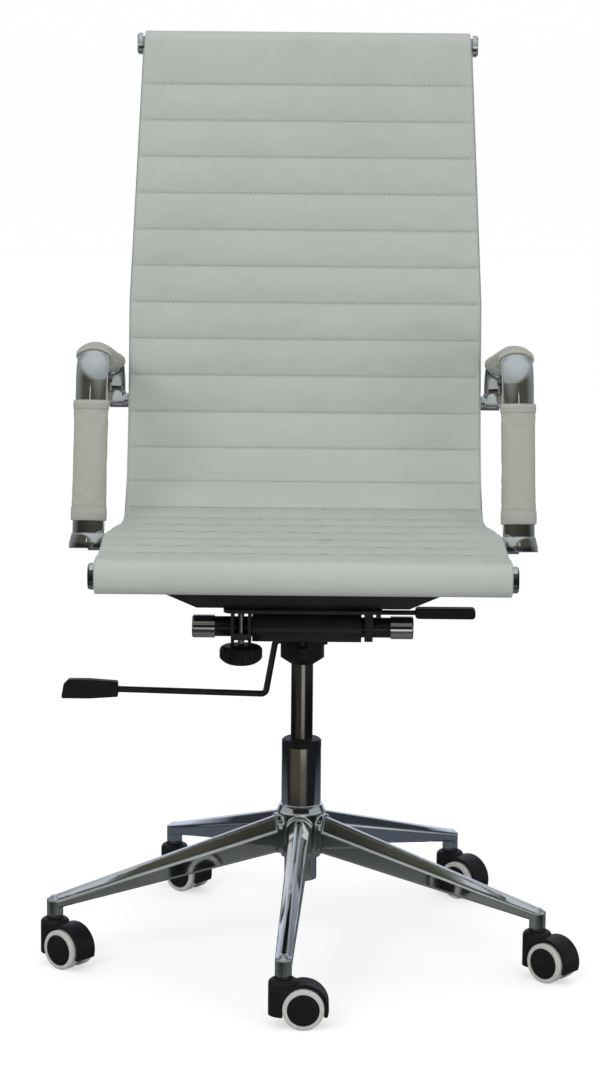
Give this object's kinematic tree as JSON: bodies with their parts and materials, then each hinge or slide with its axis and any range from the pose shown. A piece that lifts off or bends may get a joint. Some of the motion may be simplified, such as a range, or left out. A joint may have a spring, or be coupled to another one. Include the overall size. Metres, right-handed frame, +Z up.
{
  "type": "swivel office chair",
  "caption": "High-back swivel office chair: ribbed sling seat and back on a bent frame, looped arms, knee-tilt mechanism, gas lift and castor base.",
  "frame": {"origin": "on the floor, on the column axis", "axes": "+Z up, the chair faces -Y, +X to the viewer's right"},
  "size_m": [0.6712, 0.6629, 1.146],
  "materials": {
    "white_leather": "smooth faux leather, fine grain",
    "chrome": "polished chrome plate",
    "dark_chrome": "polished dark chrome",
    "plain_steel": "zinc plated steel",
    "black_enamel": "satin black powder coat",
    "black_plastic": "moulded nylon, satin",
    "grey_tread": "soft polyurethane tread"
  },
  "bodies": {
    "base": {"base_hub": "chrome", "base_legs": "chrome", "column_tube": "chrome", "column_bush": "black_plastic", "thrust_bearing": "plain_steel"},
    "gas_rod": {"piston_rod": "plain_steel"},
    "lift": {"gas_cylinder": "dark_chrome", "tilt_housing": "black_enamel", "torsion_bar": "plain_steel", "lever_bell": "black_plastic"},
    "valve": {"release_pin": "plain_steel"},
    "lift_lever": {"lift_lever_rod": "black_enamel", "lift_lever_grip": "black_plastic"},
    "seat": {"seat_plate": "black_enamel", "pivot_tubes": "black_enamel", "pivot_caps": "chrome", "seat_cross_members": "black_enamel", "side_rails": "chrome", "frame_bolts": "plain_steel", "back_stretcher": "chrome", "sling_tubes": "plain_steel", "tube_caps": "chrome", "sling_cover": "white_leather", "arm_tubes": "chrome", "arm_sleeves": "white_leather", "arm_feet": "chrome"},
    "tension": {"tension_knob": "black_plastic", "tension_screw": "plain_steel"},
    "tilt_lock": {"tilt_lock_rod": "black_enamel", "tilt_lock_grip": "black_plastic"},
    "castor_1": {"castor_hood_1": "black_plastic", "castor_pins_1": "plain_steel"},
    "wheel_left_1": {"castor_wheel_left_1": "black_plastic", "castor_tread_left_1": "grey_tread"},
    "wheel_right_1": {"castor_wheel_right_1": "black_plastic", "castor_tread_right_1": "grey_tread"},
    "castor_2": {"castor_hood_2": "black_plastic", "castor_pins_2": "plain_steel"},
    "wheel_left_2": {"castor_wheel_left_2": "black_plastic", "castor_tread_left_2": "grey_tread"},
    "wheel_right_2": {"castor_wheel_right_2": "black_plastic", "castor_tread_right_2": "grey_tread"},
    "castor_3": {"castor_hood_3": "black_plastic", "castor_pins_3": "plain_steel"},
    "wheel_left_3": {"castor_wheel_left_3": "black_plastic", "castor_tread_left_3": "grey_tread"},
    "wheel_right_3": {"castor_wheel_right_3": "black_plastic", "castor_tread_right_3": "grey_tread"},
    "castor_4": {"castor_hood_4": "black_plastic", "castor_pins_4": "plain_steel"},
    "wheel_left_4": {"castor_wheel_left_4": "black_plastic", "castor_tread_left_4": "grey_tread"},
    "wheel_right_4": {"castor_wheel_right_4": "black_plastic", "castor_tread_right_4": "grey_tread"},
    "castor_5": {"castor_hood_5": "black_plastic", "castor_pins_5": "plain_steel"},
    "wheel_left_5": {"castor_wheel_left_5": "black_plastic", "castor_tread_left_5": "grey_tread"},
    "wheel_right_5": {"castor_wheel_right_5": "black_plastic", "castor_tread_right_5": "grey_tread"}
  },
  "joints": [
    {"name": "swivel", "type": "hinge", "parent": "base", "child": "gas_rod", "pos_m": [0, 0, 0.1], "axis": [0, 0, 1], "continuous": true},
    {"name": "gas_lift", "type": "slide", "parent": "gas_rod", "child": "lift", "axis": [0, 0, 1], "range_m": [-0.097, 0], "stiffness_N_per_m": 400, "springref_m": 0.9},
    {"name": "knee_tilt", "type": "hinge", "parent": "lift", "child": "seat", "pos_m": [0, -0.09, 0.436], "axis": [-1, 0, 0], "range_deg": [0, 14], "stiffness_Nm_per_rad": 150, "springref_deg": -17.19},
    {"name": "lift_lever_pull", "type": "hinge", "parent": "lift", "child": "lift_lever", "pos_m": [-0.0268, 0, 0.399], "axis": [0, 1, 0], "range_deg": [0, 8]},
    {"name": "valve_press", "type": "slide", "parent": "lift", "child": "valve", "axis": [0, 0, -1], "range_m": [0, 0.0045]},
    {"name": "tension_turn", "type": "hinge", "parent": "seat", "child": "tension", "pos_m": [-0.0755, -0.11, 0.4], "axis": [0, 0, 1], "range_deg": [-720, 720]},
    {"name": "tilt_lock_pull", "type": "slide", "parent": "seat", "child": "tilt_lock", "axis": [1, 0, 0], "range_m": [0, 0.012]},
    {"name": "castor_swivel_1", "type": "hinge", "parent": "base", "child": "castor_1", "pos_m": [-0.01935, -0.31641, 0.062], "axis": [0, 0, 1], "continuous": true},
    {"name": "wheel_left_roll_1", "type": "hinge", "parent": "castor_1", "child": "wheel_left_1", "pos_m": [0.00465, -0.31641, 0.025], "axis": [0, 1, 0], "continuous": true},
    {"name": "wheel_right_roll_1", "type": "hinge", "parent": "castor_1", "child": "wheel_right_1", "pos_m": [0.00465, -0.31641, 0.025], "axis": [0, 1, 0], "continuous": true},
    {"name": "castor_swivel_2", "type": "hinge", "parent": "base", "child": "castor_2", "pos_m": [0.29494, -0.11618, 0.062], "axis": [0, 0, 1], "continuous": true},
    {"name": "wheel_left_roll_2", "type": "hinge", "parent": "castor_2", "child": "wheel_left_2", "pos_m": [0.31333, -0.13161, 0.025], "axis": [0.6428, 0.766, 0], "continuous": true},
    {"name": "wheel_right_roll_2", "type": "hinge", "parent": "castor_2", "child": "wheel_right_2", "pos_m": [0.31333, -0.13161, 0.025], "axis": [0.6428, 0.766, 0], "continuous": true},
    {"name": "castor_swivel_3", "type": "hinge", "parent": "base", "child": "castor_3", "pos_m": [0.20164, 0.2446, 0.062], "axis": [0, 0, 1], "continuous": true},
    {"name": "wheel_left_roll_3", "type": "hinge", "parent": "castor_3", "child": "wheel_left_3", "pos_m": [0.22002, 0.22918, 0.025], "axis": [0.6428, 0.766, 0], "continuous": true},
    {"name": "wheel_right_roll_3", "type": "hinge", "parent": "castor_3", "child": "wheel_right_3", "pos_m": [0.22002, 0.22918, 0.025], "axis": [0.6428, 0.766, 0], "continuous": true},
    {"name": "castor_swivel_4", "type": "hinge", "parent": "base", "child": "castor_4", "pos_m": [-0.17032, 0.26736, 0.062], "axis": [0, 0, 1], "continuous": true},
    {"name": "wheel_left_roll_4", "type": "hinge", "parent": "castor_4", "child": "wheel_left_4", "pos_m": [-0.15194, 0.25193, 0.025], "axis": [0.6428, 0.766, 0], "continuous": true},
    {"name": "wheel_right_roll_4", "type": "hinge", "parent": "castor_4", "child": "wheel_right_4", "pos_m": [-0.15194, 0.25193, 0.025], "axis": [0.6428, 0.766, 0], "continuous": true},
    {"name": "castor_swivel_5", "type": "hinge", "parent": "base", "child": "castor_5", "pos_m": [-0.3069, -0.07937, 0.062], "axis": [0, 0, 1], "continuous": true},
    {"name": "wheel_left_roll_5", "type": "hinge", "parent": "castor_5", "child": "wheel_left_5", "pos_m": [-0.28852, -0.0948, 0.025], "axis": [0.6428, 0.766, 0], "continuous": true},
    {"name": "wheel_right_roll_5", "type": "hinge", "parent": "castor_5", "child": "wheel_right_5", "pos_m": [-0.28852, -0.0948, 0.025], "axis": [0.6428, 0.766, 0], "continuous": true}
  ],
  "couplings": [
    {"joint": "valve_press", "follows": "lift_lever_pull", "m_per_rad": 0.03}
  ]
}
